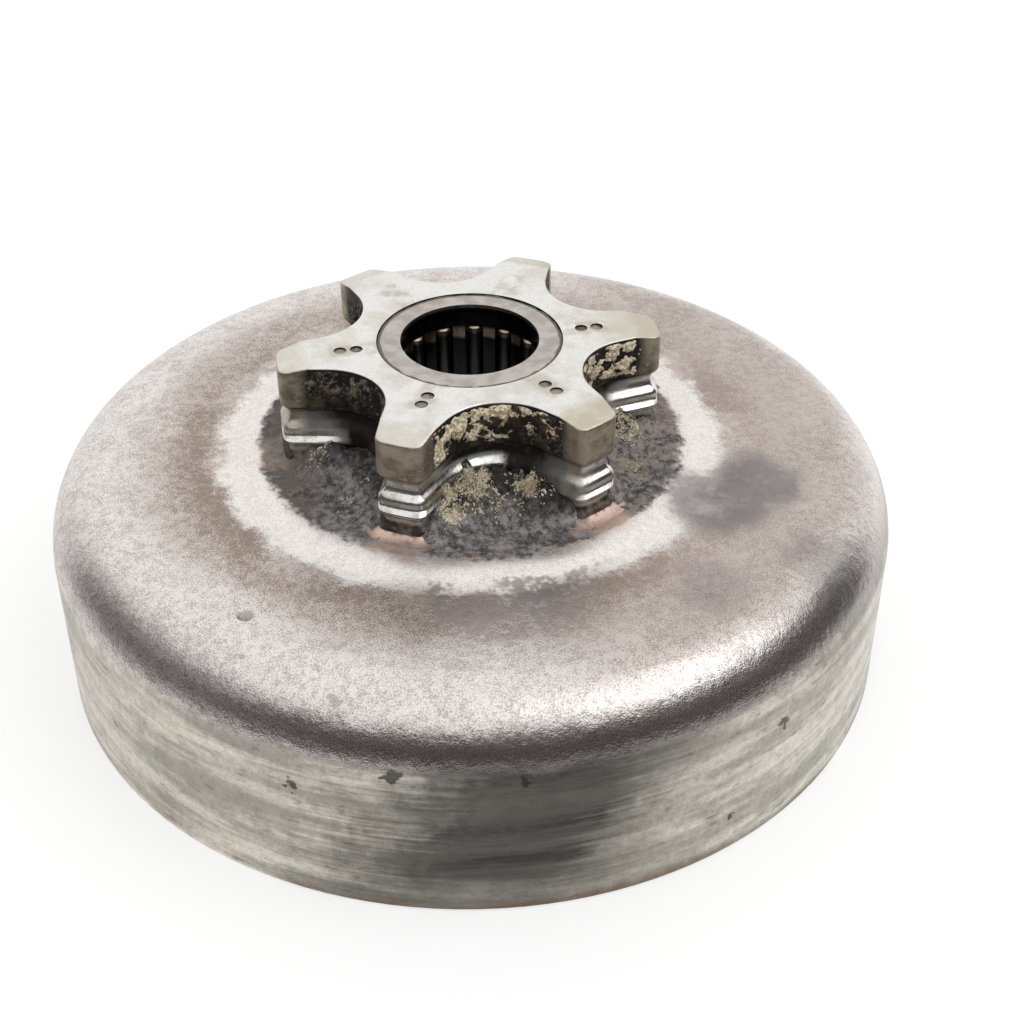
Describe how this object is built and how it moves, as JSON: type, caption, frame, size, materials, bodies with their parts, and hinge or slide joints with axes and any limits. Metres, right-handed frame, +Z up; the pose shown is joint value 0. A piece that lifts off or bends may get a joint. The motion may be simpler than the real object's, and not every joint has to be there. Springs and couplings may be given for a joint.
{
  "type": "chainsaw clutch drum",
  "caption": "Worn chainsaw clutch drum: pressed steel cup with a brazed spur sprocket for the chain and a caged needle bearing for the crankshaft",
  "frame": {"origin": "on the drum's axis, in the plane of the open rim that it stands on", "axes": "+Z up along the axis from the rim to the sprocket, +X along the middle of the first tooth"},
  "size_m": [0.0815, 0.0814, 0.0326],
  "materials": {
    "drum_steel": "satin pressed steel with brown tarnish, speckle and streaks",
    "sprocket_steel": "ground top face, grimy flanks, polished wear grooves",
    "braze_copper": "dull copper braze",
    "bearing_steel": "smooth hardened steel",
    "cage_steel": "dark oiled steel",
    "needle_steel": "polished and oiled steel"
  },
  "bodies": {
    "drum": {"drum": "drum_steel", "sprocket": "sprocket_steel", "braze_fillet": "braze_copper", "bearing_cup": "bearing_steel"},
    "cage": {"bearing_cage": "cage_steel"},
    "needle_01": {"needle_01": "needle_steel"},
    "needle_02": {"needle_02": "needle_steel"},
    "needle_03": {"needle_03": "needle_steel"},
    "needle_04": {"needle_04": "needle_steel"},
    "needle_05": {"needle_05": "needle_steel"},
    "needle_06": {"needle_06": "needle_steel"},
    "needle_07": {"needle_07": "needle_steel"},
    "needle_08": {"needle_08": "needle_steel"},
    "needle_09": {"needle_09": "needle_steel"},
    "needle_10": {"needle_10": "needle_steel"},
    "needle_11": {"needle_11": "needle_steel"},
    "needle_12": {"needle_12": "needle_steel"},
    "needle_13": {"needle_13": "needle_steel"},
    "needle_14": {"needle_14": "needle_steel"}
  },
  "joints": [
    {"name": "cage_spin", "type": "hinge", "parent": "drum", "child": "cage", "pos_m": [0, 0, 0.02625], "axis": [0, 0, 1], "continuous": true},
    {"name": "needle_01_roll", "type": "hinge", "parent": "cage", "child": "needle_01", "pos_m": [0.00714, 0, 0.02625], "axis": [0, 0, 1], "continuous": true},
    {"name": "needle_02_roll", "type": "hinge", "parent": "cage", "child": "needle_02", "pos_m": [0.00643, 0.0031, 0.02625], "axis": [0, 0, 1], "continuous": true},
    {"name": "needle_03_roll", "type": "hinge", "parent": "cage", "child": "needle_03", "pos_m": [0.00445, 0.00558, 0.02625], "axis": [0, 0, 1], "continuous": true},
    {"name": "needle_04_roll", "type": "hinge", "parent": "cage", "child": "needle_04", "pos_m": [0.00159, 0.00696, 0.02625], "axis": [0, 0, 1], "continuous": true},
    {"name": "needle_05_roll", "type": "hinge", "parent": "cage", "child": "needle_05", "pos_m": [-0.00159, 0.00696, 0.02625], "axis": [0, 0, 1], "continuous": true},
    {"name": "needle_06_roll", "type": "hinge", "parent": "cage", "child": "needle_06", "pos_m": [-0.00445, 0.00558, 0.02625], "axis": [0, 0, 1], "continuous": true},
    {"name": "needle_07_roll", "type": "hinge", "parent": "cage", "child": "needle_07", "pos_m": [-0.00643, 0.0031, 0.02625], "axis": [0, 0, 1], "continuous": true},
    {"name": "needle_08_roll", "type": "hinge", "parent": "cage", "child": "needle_08", "pos_m": [-0.00714, 0, 0.02625], "axis": [0, 0, 1], "continuous": true},
    {"name": "needle_09_roll", "type": "hinge", "parent": "cage", "child": "needle_09", "pos_m": [-0.00643, -0.0031, 0.02625], "axis": [0, 0, 1], "continuous": true},
    {"name": "needle_10_roll", "type": "hinge", "parent": "cage", "child": "needle_10", "pos_m": [-0.00445, -0.00558, 0.02625], "axis": [0, 0, 1], "continuous": true},
    {"name": "needle_11_roll", "type": "hinge", "parent": "cage", "child": "needle_11", "pos_m": [-0.00159, -0.00696, 0.02625], "axis": [0, 0, 1], "continuous": true},
    {"name": "needle_12_roll", "type": "hinge", "parent": "cage", "child": "needle_12", "pos_m": [0.00159, -0.00696, 0.02625], "axis": [0, 0, 1], "continuous": true},
    {"name": "needle_13_roll", "type": "hinge", "parent": "cage", "child": "needle_13", "pos_m": [0.00445, -0.00558, 0.02625], "axis": [0, 0, 1], "continuous": true},
    {"name": "needle_14_roll", "type": "hinge", "parent": "cage", "child": "needle_14", "pos_m": [0.00643, -0.0031, 0.02625], "axis": [0, 0, 1], "continuous": true}
  ],
  "couplings": [
    {"joint": "needle_01_roll", "follows": "cage_spin", "ratio": -10.076},
    {"joint": "needle_02_roll", "follows": "cage_spin", "ratio": -10.076},
    {"joint": "needle_03_roll", "follows": "cage_spin", "ratio": -10.076},
    {"joint": "needle_04_roll", "follows": "cage_spin", "ratio": -10.076},
    {"joint": "needle_05_roll", "follows": "cage_spin", "ratio": -10.076},
    {"joint": "needle_06_roll", "follows": "cage_spin", "ratio": -10.076},
    {"joint": "needle_07_roll", "follows": "cage_spin", "ratio": -10.076},
    {"joint": "needle_08_roll", "follows": "cage_spin", "ratio": -10.076},
    {"joint": "needle_09_roll", "follows": "cage_spin", "ratio": -10.076},
    {"joint": "needle_10_roll", "follows": "cage_spin", "ratio": -10.076},
    {"joint": "needle_11_roll", "follows": "cage_spin", "ratio": -10.076},
    {"joint": "needle_12_roll", "follows": "cage_spin", "ratio": -10.076},
    {"joint": "needle_13_roll", "follows": "cage_spin", "ratio": -10.076},
    {"joint": "needle_14_roll", "follows": "cage_spin", "ratio": -10.076}
  ]
}
